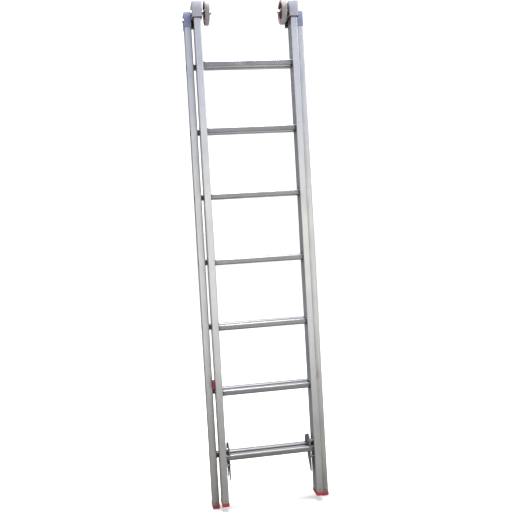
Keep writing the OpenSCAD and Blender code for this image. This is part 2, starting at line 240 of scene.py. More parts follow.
@dataclass(frozen=True)
class ExtrudedAluminium(Finish):
    """Aluminium pressed through a die and lightly anodised: satin, with fine lines along its length."""

    oxide: str = "#A4A7B1"
    grime: str = "#8C8781"
    rubbed: str = "#E4E5E8"
    # Lighter colour of upward faces: tread wear and a painted highlight
    tread_wear_and_highlight: str = "#ACADB0"
    # Colour of the painted shade in gaps and where parts meet
    painted_gap_shade: str = "#2E2E30"
    grain: Axis = Axis.Z
    line_mm: float = 1.6
    bands: float = 7.0
    cloud_mm: float = 130.0
    scuff_mm: float = 22.0
    scuff_stretch: tuple[float, float, float] = (0.4, 0.4, 1.6)
    rough: tuple[float, float] = (0.27, 0.42)
    scuff_rough: float = 0.05
    line_relief_mm: float = 0.2
    scuff_relief_mm: float = 0.1
    grime_height: float = 0.45
    grime_share: float = 0.55
    pull: float = 0.006
    # Share of the tread wear and painted highlight on upward faces
    tread_wear_and_highlight_share: float = 0.0
    # Reach and strength of the painted shade in gaps
    crevice_mm: float = 16.0
    crevice: float = 0.8
    metallic: float = 0.92

    def material(self) -> bpy.types.Material:
        """Make the material.

        The die lines are really 0.2 mm apart, and are drawn wider so that they show.
        Clouds are the uneven oxide, scuffs come from handling, and grime gathers near the ground.
        Faces that point up are lighter where the finish says so, from wear by shoes and a painted highlight
        from above, and painted shade darkens the gaps and the places where parts meet.

        Returns:
            The finished material.
        """
        material, place = self.start()
        tree = material.node_tree
        along = add_node(tree, "ShaderNodeMapping", {"Vector": place, "Scale": self.grain.stretched(self.pull)})
        across = add_node(tree, "ShaderNodeMapping", {"Vector": place, "Scale": self.scuff_stretch})
        lines, bands, clouds, marks = (
            add_node(tree, "ShaderNodeTexNoise", {"Vector": where, "Scale": 1 / (size * MM), "Detail": detail})
            for where, size, detail in (
                (along, self.line_mm, 3.0),
                (along, self.line_mm * self.bands, 2.0),
                (place, self.cloud_mm, 4.0),
                (across, self.scuff_mm, 6.0),
            )
        )
        scuffs = add_node(tree, "ShaderNodeMapRange", {0: marks, 1: 0.61, 2: 0.70, 3: 0.0, 4: 1.0}, clamp=True)
        height = add_node(tree, "ShaderNodeSeparateXYZ", {"Vector": place}, "Z")
        reach = {0: height, 1: 0.0, 2: self.grime_height, 3: self.grime_share, 4: 0.0}
        low_down = add_node(tree, "ShaderNodeMapRange", reach, clamp=True)
        dirt = add_node(tree, "ShaderNodeMath", {0: low_down, 1: clouds}, operation="MULTIPLY")
        normal = add_node(tree, "ShaderNodeNewGeometry", {}, "Normal")
        upward = add_node(tree, "ShaderNodeSeparateXYZ", {"Vector": normal}, "Z")
        # Ambient occlusion is the mask of the painted shade in gaps
        reach = {"Distance": self.crevice_mm * MM}
        open_sky = add_node(tree, "ShaderNodeAmbientOcclusion", reach, "AO", samples=8)

        tint = to_linear(self.colour)
        for layer, pattern in (
            (Layer(self.oxide, 0.35, 0.7, 0.0, 0.6), clouds),
            (Layer(self.oxide, 0.4, 0.65, 0.0, 0.22), bands),
            (Layer(self.rubbed, 0.0, 1.0, 0.0, 0.1), scuffs),
            # Upward faces lighter: tread wear and a painted highlight from above
            (Layer(self.tread_wear_and_highlight, 0.25, 0.8, 0.0, self.tread_wear_and_highlight_share), upward),
            (Layer(self.grime, 0.0, 1.0, 0.0, 1.0), dirt),
            # Painted shade: darker in gaps and where parts meet
            (Layer(self.painted_gap_shade, 0.45, 0.92, self.crevice, 0.0), open_sky),
        ):
            tint = layer.over(tree, pattern, tint)
        satin = {0: lines, 1: 0.3, 2: 0.7, 3: self.rough[0], 4: self.rough[1]}
        rough = add_node(tree, "ShaderNodeMapRange", satin, clamp=True)
        duller = {0: scuffs, 1: self.scuff_rough, 2: rough}
        rough = add_node(tree, "ShaderNodeMath", duller, operation="MULTIPLY_ADD")
        relief = {"Height": lines, "Strength": 0.16, "Distance": self.line_relief_mm * MM}
        lined = add_node(tree, "ShaderNodeBump", relief)
        relief = {"Height": scuffs, "Strength": 0.08, "Distance": self.scuff_relief_mm * MM, "Normal": lined}
        linked = {"Base Color": tint, "Roughness": rough, "Normal": add_node(tree, "ShaderNodeBump", relief)}
        return self.close(material, linked, {"Metallic": self.metallic})


@dataclass(frozen=True)
class SheetMetal(CoatedFinish):
    """Rolled sheet, folded or stamped: flat satin with a mottled coat and rubbed edges."""

    mottle: str = "#8A8D99"
    worn: str = "#C9CBD0"
    mottle_mm: float = 9.0
    mark_share: float = 0.15
    cloud_share: float = 6.0
    relief_mm: float = 0.15
    rough: tuple[float, float] = (0.36, 0.52)
    metallic: float = 0.85

    def material(self) -> bpy.types.Material:
        """Make the material: a mottle from the coating bath, handling marks, and brighter worn edges.

        Returns:
            The finished material.
        """
        size = self.mottle_mm
        patterns = {"mottle": (size, 3.0), "marks": (size * self.mark_share, 2.0)}
        patterns["clouds"] = (size * self.cloud_share, 3.0)
        layers = [
            ("mottle", Layer(self.mottle, 0.38, 0.62, 0.0, 0.7)),
            ("clouds", Layer(self.mottle, 0.4, 0.7, 0.0, 0.4)),
            ("edge", Layer(self.worn, 0.53, 0.60, 0.0, 0.7)),
        ]
        return self.coated(patterns, layers, "clouds", ("marks", 0.12), {"Metallic": self.metallic})


@dataclass(frozen=True)
class Moulded(CoatedFinish):
    """Injection-moulded nylon or rubber: a fine spark-eroded grain, slight shade changes and dust."""

    shade: str = "#5A1018"
    dust: str = "#B9A9A6"
    grain_mm: float = 0.9
    flow_mm: float = 24.0
    speck_mm: float = 3.5
    rough: tuple[float, float] = (0.38, 0.55)
    relief_mm: float = 0.08
    dusty: float = 0.18
    ior: float = 1.53

    def material(self) -> bpy.types.Material:
        """Make the material: grain in the bump, flow shades in the colour and dust in the hollows.

        The eroded grain is really about 0.1 mm, and is drawn coarser so that it shows.

        Returns:
            The finished material.
        """
        patterns = {"grain": (self.grain_mm, 2.0), "flow": (self.flow_mm, 3.0), "specks": (self.speck_mm, 5.0)}
        layers = [
            ("flow", Layer(self.shade, 0.35, 0.65, 0.0, 0.6)),
            ("specks", Layer(self.dust, 0.5, 0.75, 0.0, self.dusty)),
            ("edge", Layer(self.dust, 0.54, 0.62, 0.0, self.dusty)),
        ]
        return self.coated(patterns, layers, "flow", ("grain", 0.35), {"IOR": self.ior})


@dataclass(frozen=True)
class StudioPaint(Finish):
    """Matt studio paint, almost even."""

    cloud_mm: float = 900.0
    rough: float = 0.9
    specular: float = 0.1

    def material(self) -> bpy.types.Material:
        """Make the material: matt, with slight clouds from the roller.

        Returns:
            The finished material.
        """
        material, place = self.start()
        tree = material.node_tree
        spread = {"Vector": place, "Scale": 1 / (self.cloud_mm * MM), "Detail": 2.0}
        clouds = add_node(tree, "ShaderNodeTexNoise", spread)
        tint = Layer("#FFFFFF", 0.3, 0.7, 0.0, 0.06).over(tree, clouds, to_linear(self.colour))
        even = {"Roughness": self.rough, "Specular IOR Level": self.specular}
        return self.close(material, {"Base Color": tint}, even)


class Palette:
    """Every material of the ladder, made once."""

    def __init__(self) -> None:
        """Make the materials."""
        # Anodised stiles mirror the room as soft upright bands; painted shade makes their gaps darker than
        # their faces.
        self.stile = ExtrudedAluminium(
            "extruded_aluminium_stile", "#C8C9CB", oxide="#B1B3B9", crevice_mm=34.0
        ).material()
        # Mill-finish rungs are darker, their colour also holding painted shade for fronts that face away from
        # the light, with lines across the ladder and treads lighter from wear and a painted highlight.
        self.rung = ExtrudedAluminium(
            "extruded_aluminium_rung",
            "#8E8F91",
            oxide="#7A7B7F",
            grain=Axis.X,
            line_mm=1.8,
            rough=(0.3, 0.46),
            tread_wear_and_highlight_share=0.9,
        ).material()
        # Folded sheet: flat satin planes that catch the light at the bends.
        self.bracket = SheetMetal(
            "folded_anodised_sheet", "#9A9BA4", mottle="#8B8C96", worn="#B2B4BB"
        ).material()
        self.sleeve = SheetMetal(
            "folded_blue_zinc_sheet", "#7A7E9C", mottle="#686C8B", worn="#9DA0B4"
        ).material()
        # Galvanised and zinc-plated steel: a cloudy grey, and a brighter one on the small fasteners.
        self.hook = SheetMetal(
            "stamped_galvanised_steel", "#8B8C8F", mottle="#747578", worn="#B0B1B4", mottle_mm=6.0
        ).material()
        self.zinc = SheetMetal(
            "zinc_plated_steel",
            "#9C9EA3",
            mottle="#85878C",
            worn="#BBBDC1",
            mottle_mm=3.0,
            rough=(0.24, 0.36),
            metallic=1.0,
        ).material()
        # Moulded plastics: even colour with a soft sheen, dustier on the duller ones.
        self.cap = Moulded(
            "moulded_grey_polypropylene", "#6F7388", shade="#5C6076", dust="#9A9CA8"
        ).material()
        self.red = Moulded(
            "moulded_red_nylon", "#8C1022", shade="#700B1A", dust="#A0686E", dusty=0.12
        ).material()
        self.dark_red = Moulded(
            "moulded_oxblood_nylon", "#560F1A", shade="#3E0A13", dust="#74414A", dusty=0.08, rough=(0.5, 0.66)
        ).material()
        self.white = Moulded("moulded_white_nylon", "#DAD8D0", shade="#C6C3B9", dust="#B5B2A8").material()
        # Rubber: nearly matt, with no clear highlight.
        self.black = Moulded(
            "moulded_black_rubber", "#17171A", shade="#0E0E10", dust="#5A5A5C", rough=(0.6, 0.78), ior=1.5
        ).material()
        self.tyre = Moulded(
            "moulded_grey_rubber",
            "#7C7877",
            shade="#6C6867",
            dust="#95918E",
            rough=(0.62, 0.8),
            relief_mm=0.15,
            ior=1.5,
        ).material()


# ---------- Mesh tools ----------


def fillet(corners: Sequence[tuple[float, float]], radii: float | Sequence[float], steps: int = 5) -> Outline:
    """Round the corners of a closed outline.

    Args:
        corners: The outline's corners in order.
        radii: One radius for all corners, or one for each.
        steps: Points in each rounded corner, less one.

    Returns:
        The rounded outline.
    """
    count = len(corners)
    sizes = [radii] * count if isinstance(radii, (int, float)) else list(radii)
    outline: Outline = []
    for index, (x, y) in enumerate(corners):
        before = Vector(corners[index - 1]) - Vector((x, y))
        after = Vector(corners[(index + 1) % count]) - Vector((x, y))
        half = before.angle(after) / 2
        reach = min(sizes[index] / math.tan(half), before.length * 0.49, after.length * 0.49)
        start = Vector((x, y)) + before.normalized() * reach
        end = Vector((x, y)) + after.normalized() * reach
        for step in range(steps + 1):
            t = step / steps
            point = start * (1 - t) ** 2 + Vector((x, y)) * 2 * t * (1 - t) + end * t**2
            outline.append((point.x, point.y))
    return outline


def inset(outline: Outline, distance: float) -> Outline:
    """Shrink a closed outline evenly.

    Args:
        outline: The outline's points in order, either way round.
        distance: How far each point moves inwards.

    Returns:
        The smaller outline, with as many points.
    """
    area = sum(a[0] * b[1] - b[0] * a[1] for a, b in zip(outline, outline[1:] + outline[:1]))
    turn = 1 if area > 0 else -1
    result: Outline = []
    for index, (x, y) in enumerate(outline):
        ahead = outline[(index + 1) % len(outline)]
        behind = outline[index - 1]
        side = Vector((behind[1] - ahead[1], ahead[0] - behind[0]))
        side = side.normalized() * turn * distance if side.length > 1e-9 else Vector((0, 0))
        result.append((x + side.x, y + side.y))
    return result


def rectangle(low: tuple[float, float], high: tuple[float, float]) -> Outline:
    """Give a rectangle's four corners."""
    return [(low[0], low[1]), (high[0], low[1]), (high[0], high[1]), (low[0], high[1])]


def circle_loop(x: float, radius: float, centre: Vector, count: int = 48) -> Loop:
    """Give a ring of points round the X direction through centre."""
    turns = [2 * math.pi * i / count for i in range(count)]
    return [Vector((x, centre.y + radius * math.cos(a), centre.z + radius * math.sin(a))) for a in turns]


def hex_loop(x: float, flat: float, centre: Vector, limit: float = math.inf, count: int = 48) -> Loop:
    """Give a hexagon's ring of points round the X direction.

    Args:
        x: The ring's place along X.
        flat: Half the size across flats.
        centre: A point on the axis.
        limit: Radius that the corners are cut back to.
        count: Points in the ring.

    Returns:
        The ring.
    """
    loop: Loop = []
    for i in range(count):
        angle = 2 * math.pi * i / count
        from_flat = (angle + math.pi / 6) % (math.pi / 3) - math.pi / 6
        radius = min(flat / math.cos(from_flat), limit)
        loop.append(Vector((x, centre.y + radius * math.sin(angle), centre.z + radius * math.cos(angle))))
    return loop


def whole_profile(half: Sequence[tuple[float, float]], middle: float) -> Outline:
    """Join a turned piece's right half profile to its mirror image, about middle."""
    return [(middle + x, r) for x, r in half] + [(middle - x, r) for x, r in reversed(half)]


def groove(middle: float, cut: float, mouth: float, base: float) -> Outline:
    """Give the steps of a groove round a stack: half its mouth and half its base, about middle."""
    return [(0.0, middle - mouth), (cut, middle - base), (cut, middle + base), (0.0, middle + mouth)]


@dataclass
class Skin:
    """Points and faces of one piece, gathered before it becomes an object."""

    points: list[Vector] = field(default_factory=list)
    faces: list[tuple[int, ...]] = field(default_factory=list)

    def loft(self, loops: Sequence[Loop], ring: bool = False) -> Skin:
        """Join loops of equal length with faces.

        Args:
            loops: The loops in order.
            ring: True joins the last loop to the first; False closes both ends.

        Returns:
            This skin.
        """
        start, count = len(self.points), len(loops[0])
        for loop in loops:
            self.points.extend(loop)
        for row in range(len(loops) if ring else len(loops) - 1):
            near, far = start + row * count, start + (row + 1) % len(loops) * count
            for i in range(count):
                j = (i + 1) % count
                self.faces.append((near + i, near + j, far + j, far + i))
        if not ring:
            last = start + (len(loops) - 1) * count
            self.faces.append(tuple(range(start + count - 1, start - 1, -1)))
            self.faces.append(tuple(range(last, last + count)))
        return self

    def slab(self, outline: Outline, axis: Axis, start: float, end: float, edge: float) -> Skin:
        """Give an outline thickness, with its rims rounded over.

        Args:
            outline: The flat shape.
            axis: The direction of the thickness.
            start: Where the thickness starts.
            end: Where it ends.
            edge: Size of the rounding.

        Returns:
            This skin.
        """
        steps = [(edge, 0.0), (edge * 0.3, edge * 0.3), (0.0, edge)]
        places = [(cut, start + rise) for cut, rise in steps]
        return self.stack(outline, places + [(cut, end - rise) for cut, rise in reversed(steps)], axis)

    def stack(self, outline: Outline, steps: Sequence[tuple[float, float]], axis: Axis = Axis.Z) -> Skin:
        """Loft an outline through steps of how far it is inset and where it is along the axis."""
        return self.loft([[axis.lift(u, v, t) for u, v in inset(outline, cut)] for cut, t in steps])

    def lathe(
        self, profile: Sequence[tuple[float, float]], centre: Vector, ring: bool = False, count: int = 48
    ) -> Skin:
        """Turn a profile of (x, radius) pairs about the X direction through centre."""
        return self.loft([circle_loop(x, r, centre, count) for x, r in profile], ring)

    def add(self, other: Skin) -> Skin:
        """Add another skin's points and faces.

        Args:
            other: The skin to add.

        Returns:
            This skin.
        """
        start = len(self.points)
        self.points.extend(other.points)
        self.faces.extend([tuple(start + i for i in face) for face in other.faces])
        return self

    def with_mirror(self) -> Skin:
        """Add a copy of everything mirrored across X."""
        return self.add(self.mirrored())

    def mirrored(self) -> Skin:
        """Give a copy mirrored across X."""
        flipped = [tuple(reversed(face)) for face in self.faces]
        return Skin([Vector((-p.x, p.y, p.z)) for p in self.points], flipped)

    def to_object(self, name: str, material: bpy.types.Material) -> bpy.types.Object:
        """Make the object.

        Args:
            name: The object's name.
            material: Its finish.

        Returns:
            The new object, smooth except at its edges.
        """
        mesh = bpy.data.meshes.new(name)
        mesh.from_pydata([tuple(p) for p in self.points], [], self.faces)
        work = bmesh.new()
        work.from_mesh(mesh)
        bmesh.ops.recalc_face_normals(work, faces=work.faces)
        work.to_mesh(mesh)
        work.free()
        mesh.materials.append(material)
        mesh.shade_smooth()
        mesh.set_sharp_from_angle(angle=math.radians(38))
        piece = bpy.data.objects.new(name, mesh)
        bpy.context.scene.collection.objects.link(piece)
        return piece


def settle(piece: bpy.types.Object, body: str, slot: str, *nodes: str) -> None:
    """Put a piece on its body in place of the nodes that it stands for.

    Args:
        piece: The new piece.
        body: The body that carries it.
        slot: The record's material slot; not used.
        nodes: The CAD nodes that it replaces.
    """
    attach(piece, body)
    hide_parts(*nodes)
    LOG.info("%s on %s", piece.name, body)


def settle_sides(
    build: Callable[[], Skin], name: str, body: str, slot: str, material: bpy.types.Material
) -> None:
    """Make the right-hand piece and its mirror image.

    Args:
        build: Makes the right-hand skin.
        name: The nodes' name without the side.
        body: The body, with {} where its side goes, if it has one.
        slot: The record's material slot.
        material: The finish.
    """
    skin = build()
    for side in SIDES:
        shape = skin if side == "right" else skin.mirrored()
        piece = shape.to_object(f"{name}_{side}_detail", material)
        settle(piece, body.format(side), slot, f"{name}_{side}")


def box_of(node: str) -> tuple[Vector, Vector]:
    """Give a node's low and high corners as vectors."""
    low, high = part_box(node)
    return Vector(low), Vector(high)


# ---------- The ladder's sub-assemblies ----------


def bolt_head(seat: float, end: float, flat: float, chamfer: float, crown: float, centre: Vector) -> Skin:
    """Build a hexagon head with its outer face chamfered.

    Args:
        seat: The X place that it bears on.
        end: The X place of its outer face.
        flat: Half its size across flats.
        chamfer: Height of the chamfer.
        crown: Radius of the chamfer's inner end, as a share of flat.
        centre: A point on its axis.

    Returns:
        The head's skin.
    """
    face = flat * 0.9
    loops = [hex_loop(x, flat, centre) for x in (seat, end - chamfer)]
    return Skin().loft([*loops, hex_loop(end, flat, centre, flat * crown), hex_loop(end, face, centre, face)])


def nut(start: float, end: float, flat: float, bore: float, centre: Vector) -> Skin:
    """Build a hexagon nut with both faces chamfered.

    Args:
        start: The X place of its first face.
        end: The X place of its second face.
        flat: Half its size across flats.
        bore: Radius of its hole.
        centre: A point on its axis.

    Returns:
        The nut's skin.
    """
    cut = (end - start) * 0.14
    rim = flat * 0.96
    # A circle's points start a quarter turn away from a hexagon's, and go the other way round.
    rings = [circle_loop(x, bore, centre) for x in (start, end)]
    holes = [[ring[(len(ring) // 4 - i) % len(ring)] for i in range(len(ring))] for ring in rings]
    body = [hex_loop(x, flat, centre) for x in (start + cut, end - cut)]
    ends = [hex_loop(x, rim, centre, rim) for x in (start, end)]
    return Skin().loft([holes[0], ends[0], *body, ends[1], holes[1]], ring=True)


class Extrusions:
    """Stiles, rungs and inner small parts, which keep their CAD shapes."""

    def dress(self, nodes: dict[str, bpy.types.Object], palette: Palette) -> None:
        """Give the pieces their finishes.

        Args:
            nodes: The CAD nodes by name.
            palette: The ladder's materials.
        """
        finishes = {f"{section}_stile_{side}": palette.stile for section in SECTIONS for side in SIDES}
        finishes |= {f"{section}_rung_{number}": palette.rung for section in SECTIONS for number in RUNGS}
        finishes |= {f"hub_bush_{side}": palette.white for side in SIDES}
        finishes |= {name: palette.zinc for name in ("stop_screws", "block_screws")}
        for name, material in finishes.items():
            for slot in nodes[name].material_slots:
                slot.material = material
            LOG.info("%s dressed with %s", name, material.name)


@dataclass
class FootCaps:
    """Moulded nylon caps on the four lower stile ends, with their rivets."""

    height: float = 16 * MM
    wall: float = 1.5 * MM
    sole: float = 5 * MM
    tread: float = 1.5 * MM
    corner: float = 4.5 * MM
    edge: float = 0.8 * MM
    rim_inset: float = 0.4 * MM
    rim_drop: float = 0.6 * MM
    fit: float = 0.1 * MM
    grips: tuple[float, ...] = (4.4 * MM, 8.0 * MM)
    grip_cut: float = 0.5 * MM
    grip_mouth: float = 0.8 * MM
    grip_floor: float = 0.4 * MM
    ribs: int = 5
    rib_gap: float = 2 * MM
    rib_inset: float = 1.2 * MM
    rib_corner: float = 1.5 * MM
    rib_sunk: float = 0.5 * MM
    rib_edge: float = 0.3 * MM
    rivet_rise: float = 12 * MM
    rivet_radius: float = 4 * MM
    rivet_height: float = 1.2 * MM
    # Share of the rivet's radius, and share of its height
    dome: tuple[tuple[float, float], ...] = ((1.0, 0.0), (1.0, 0.3), (0.86, 0.72), (0.55, 0.94), (0.2, 1.0))

    def cap(self, node: str) -> Skin:
        """Build one cap: a cup with two grip lines round it, over a ribbed sole.

        Args:
            node: The right-hand cap's node.

        Returns:
            The cap's skin.
        """
        low, high = box_of(node)
        base, top = low.z + self.tread, low.z + self.height
        outer = fillet(rectangle((low.x, low.y), (high.x, high.y)), self.corner)
        steps = [(self.edge, base), (0.0, base + self.edge)]
        for rise in self.grips:
            steps += groove(base + rise, self.grip_cut, self.grip_mouth, self.grip_floor)
        cup = self.wall - self.fit
        steps += [(0.0, top - self.rim_drop), (self.rim_inset, top), (cup, top), (cup, low.z + self.sole)]
        skin = Skin().stack(outer, steps)
        depth = (high.y - low.y - 2 * self.corner - (self.ribs - 1) * self.rib_gap) / self.ribs
        for i in range(self.ribs):
            near = low.y + self.corner + i * (depth + self.rib_gap)
            pad = rectangle((low.x + self.rib_inset, near), (high.x - self.rib_inset, near + depth))
            skin.slab(fillet(pad, self.rib_corner), Axis.Z, low.z, base + self.rib_sunk, self.rib_edge)
        return skin

    def rivets(self, foot: str, stile: str) -> Skin:
        """Build the domed rivet heads on the stiles' front faces, above both caps of a section.

        Args:
            foot: The right-hand cap's node.
            stile: The right-hand stile's node.

        Returns:
            The skin of both heads.
        """
        low, high = box_of(stile)
        centre = Vector(((low.x + high.x) / 2, low.y, box_of(foot)[0].z + self.height + self.rivet_rise))
        loops = []
        for share, lift in self.dome:
            ring = circle_loop(0.0, self.rivet_radius * share, Vector((0, 0, 0)), 32)
            loops.append([centre + Vector((p.y, -self.rivet_height * lift, p.z)) for p in ring])
        return Skin().loft(loops).with_mirror()

    def build(self, palette: Palette) -> None:
        """Make the caps and rivets of both sections.

        Args:
            palette: The ladder's materials.
        """
        for section in SECTIONS:
            node = f"{section}_foot"
            settle_sides(lambda: self.cap(f"{node}_right"), node, section, "red_nylon", palette.red)
            rivets = self.rivets(f"{node}_right", f"{section}_stile_right")
            piece = rivets.to_object(f"{section}_foot_rivet_heads", palette.zinc)
            settle(piece, section, "zinc_fastener", f"{section}_foot_rivets")


@dataclass
class BaseTops:
    """End caps, folded sleeves, their bolts and nuts, and the rubber stops on the base's tops."""

    sheet: float = 2 * MM
    bend: float = 4 * MM
    sheet_corner: float = 0.4 * MM
    sheet_edge: float = 0.35 * MM
    cap_corner: float = 3 * MM
    least_corner: float = 1 * MM
    # The cap's top edge, its flat and its panel line: how far in, and how far below the top
    cap_steps: tuple[tuple[float, float], ...] = (
        (0.0, 0.9 * MM), (0.35 * MM, 0.3 * MM), (1.0 * MM, 0.0), (3.0 * MM, 0.0),
        (3.3 * MM, 0.5 * MM), (4.2 * MM, 0.5 * MM), (4.5 * MM, 0.0),
    )
    bolt_flat: float = 6.5 * MM
    bolt_radius: float = 4 * MM
    bolt_chamfer: float = 0.9 * MM
    tip_chamfer: float = 0.8 * MM
    thread_past_nut: float = 2 * MM
    nut_height: float = 5.2 * MM
    stop_corner: float = 2.5 * MM
    stop_edge: float = 1.0 * MM
    stop_grooves: int = 3
    groove_cut: float = 0.7 * MM
    groove_mouth: float = 1.1 * MM
    groove_floor: float = 0.6 * MM

    def sleeve(self) -> Skin:
        """Build the right-hand sleeve: a sheet folded round the front, outside and back.

        Returns:
            The sleeve's skin.
        """
        low, high = box_of("base_sleeve_right")
        t = self.sheet
        outside = [(low.x, low.y), (high.x, low.y), (high.x, high.y), (low.x, high.y)]
        inside = [(low.x, high.y - t), (high.x - t, high.y - t), (high.x - t, low.y + t), (low.x, low.y + t)]
        rim, inner = self.sheet_corner, self.bend - t
        outline = fillet(outside + inside, [rim, self.bend, self.bend, rim, rim, inner, inner, rim])
        return Skin().slab(outline, Axis.Z, low.z, high.z, self.sheet_edge)

    def cap(self) -> Skin:
        """Build the right-hand end cap: a plate with a softened top edge and a moulded panel line.

        Returns:
            The cap's skin.
        """
        low, high = box_of("base_cap_right")
        steps = [(0.0, box_of("base_stile_right")[1].z)]
        steps += [(cut, high.z - drop) for cut, drop in self.cap_steps]
        loops = []
        for cut, z in steps:
            corners = rectangle((low.x + cut, low.y + cut), (high.x - cut, high.y - cut))
            rounded = fillet(corners, max(self.cap_corner - cut, self.least_corner))
            loops.append([Vector((x, y, z)) for x, y in rounded])
        return Skin().loft(loops)

    def stop(self) -> Skin:
        """Build the right-hand rubber stop: a block with grip grooves across its front.

        Returns:
            The stop's skin.
        """
        low, high = box_of("stop_right")
        pitch = (high.z - low.z) / (self.stop_grooves + 1)
        steps = [(self.stop_edge, low.z), (0.0, low.z + self.stop_edge)]
        for i in range(1, self.stop_grooves + 1):
            steps += groove(low.z + i * pitch, self.groove_cut, self.groove_mouth, self.groove_floor)
        steps += [(0.0, high.z - self.stop_edge), (self.stop_edge, high.z)]
        return Skin().stack(fillet(rectangle((low.x, low.y), (high.x, high.y)), self.stop_corner), steps)

    def bolts(self) -> Skin:
        """Build both hexagon bolts, heads outside and threaded tips inside.

        Returns:
            The skin of both bolts.
        """
        low, high = box_of("sleeve_bolts")
        centre = (low + high) / 2
        seat = box_of("base_sleeve_right")[1].x
        skin = bolt_head(seat, high.x, self.bolt_flat, self.bolt_chamfer, 0.98, centre)
        face = box_of("base_stile_right")[0].x
        tip, r, cut = face - self.nut_height - self.thread_past_nut, self.bolt_radius, self.tip_chamfer
        return skin.lathe([(tip, r - cut), (tip + cut, r), (face, r)], centre, count=32).with_mirror()

    def nuts(self) -> Skin:
        """Build both nuts on the stiles' inner faces.

        Returns:
            The skin of both nuts.
        """
        low, high = box_of("sleeve_nuts")
        face = box_of("base_stile_right")[0].x
        start = face - self.nut_height
        return nut(start, face, self.bolt_flat, self.bolt_radius, (low + high) / 2).with_mirror()

    def build(self, palette: Palette) -> None:
        """Make everything at the base's tops.

        Args:
            palette: The ladder's materials.
        """
        settle_sides(self.sleeve, "base_sleeve", "base", "bracket_sheet", palette.sleeve)
        settle_sides(self.cap, "base_cap", "base", "bracket_sheet", palette.cap)
        settle_sides(self.stop, "stop", "base", "black_rubber", palette.black)
        for name, skin in (("sleeve_bolts", self.bolts()), ("sleeve_nuts", self.nuts())):
            settle(skin.to_object(f"{name}_detail", palette.zinc), "base", "zinc_fastener", name)


@dataclass
class WheelBrackets:
    """Folded brackets over the fly's tops, with liners, axles, spacers, washers and nuts."""

    sheet: float = 3 * MM
    bend: float = 6 * MM
    liner: float = 4 * MM
    rim_corner: float = 0.5 * MM
    roof_corner: float = 0.8 * MM
    least_bend: float = 0.6 * MM
    sheet_edge: float = 0.3 * MM
    axle_radius: float = 5 * MM
    head_flat: float = 8.2 * MM
    chamfer: float = 1.1 * MM
    bore_gap: float = 0.05 * MM
    wheel_gap: float = 0.3 * MM
    spacer_edge: float = 0.5 * MM
    collar: float = 2.4 * MM
    collar_end: float = 3.2 * MM
    waist_cut: float = 1.2 * MM
    washer: float = 1.6 * MM
    washer_edge: float = 0.3 * MM
    nut_height: float = 8 * MM

    def folded(self, node: str, thickness: float, bend: float) -> Skin:
        """Build a right-hand cover that wraps the stile's front, sides and top.

        Args:
            node: The node that gives its size.
            thickness: The sheet's thickness.
            bend: Radius of its front edges.

        Returns:
            The cover's skin.
        """
        low, high = box_of(node)
        t = thickness
        outside = [(low.x, high.y), (low.x, low.y), (high.x, low.y), (high.x, high.y)]
        inside = [(high.x - t, high.y), (high.x - t, low.y + t), (low.x + t, low.y + t), (low.x + t, high.y)]
        rim, inner = self.rim_corner, max(bend - t, self.least_bend)
        walls = fillet(outside + inside, [rim, bend, bend, rim, rim, inner, inner, rim])
        skin = Skin().slab(walls, Axis.Z, low.z, high.z - t * 0.6, self.sheet_edge)
        corners = rectangle((low.x, low.y), (high.x, high.y))
        roof = fillet(corners, [bend, bend, self.roof_corner, self.roof_corner])
        return skin.slab(roof, Axis.Z, high.z - t, high.z, t * 0.45)

    def bracket(self) -> Skin:
        """Build the right-hand bracket."""
        return self.folded("wheel_bracket_right", self.sheet, self.bend)

    def lining(self) -> Skin:
        """Build the right-hand liner."""
        return self.folded("bracket_liner_right", self.liner, self.bend - self.sheet)

    def axle(self) -> Skin:
        """Build the right-hand axle bolt: hexagon head outside, chamfered tip inside.

        Returns:
            The bolt's skin.
        """
        low, high = box_of("axle_right")
        centre = (low + high) / 2
        seat = box_of("wheel_bracket_right")[1].x
        r, cut = self.axle_radius, self.chamfer
        skin = bolt_head(seat, high.x, self.head_flat, cut, 0.99, centre)
        return skin.lathe([(low.x, r - cut), (low.x + cut, r), (seat, r)], centre)

    def small_parts(self) -> dict[str, Skin]:
        """Build the spacers, washers and nuts.

        Returns:
            Node name to the skin of both sides' pieces.
        """
        low, high = box_of("axle_spacers")
        centre = (low + high) / 2
        r, edge = self.axle_radius + self.bore_gap, self.spacer_edge
        rim = (high.z - low.z) / 2
        waist = rim - self.waist_cut
        wheel_low, wheel_high = box_of("tyre_right")
        near, far = wheel_high.x, box_of("wheel_bracket_right")[0].x
        start = near + self.wheel_gap
        spacer = [(start, r), (start, rim - edge), (start + edge, rim)]
        spacer += [(near + self.collar, rim), (near + self.collar_end, waist)]
        spacer += [(far - self.collar_end, waist), (far - self.collar, rim)]
        spacer += [(far - edge, rim), (far, rim - edge), (far, r)]
        low, high = box_of("axle_washers")
        rim, edge = (high.z - low.z) / 2, self.washer_edge
        end = wheel_low.x - self.wheel_gap
        start = end - self.washer
        washer = [(start, r), (start, rim - edge), (start + edge, rim)]
        washer += [(end - edge, rim), (end, rim - edge), (end, r)]
        return {
            "axle_spacers": Skin().lathe(spacer, centre, ring=True).with_mirror(),
            "axle_washers": Skin().lathe(washer, centre, ring=True).with_mirror(),
            "axle_nuts": nut(start - self.nut_height, start, self.head_flat, r, centre).with_mirror(),
        }

    def build(self, palette: Palette) -> None:
        """Make everything at the fly's tops but the wheels.

        Args:
            palette: The ladder's materials.
        """
        settle_sides(self.bracket, "wheel_bracket", "fly", "bracket_sheet", palette.bracket)
        settle_sides(self.lining, "bracket_liner", "fly", "dark_red_nylon", palette.dark_red)
        settle_sides(self.axle, "axle", "fly", "zinc_fastener", palette.zinc)
        for name, skin in self.small_parts().items():
            settle(skin.to_object(f"{name}_detail", palette.zinc), "fly", "zinc_fastener", name)


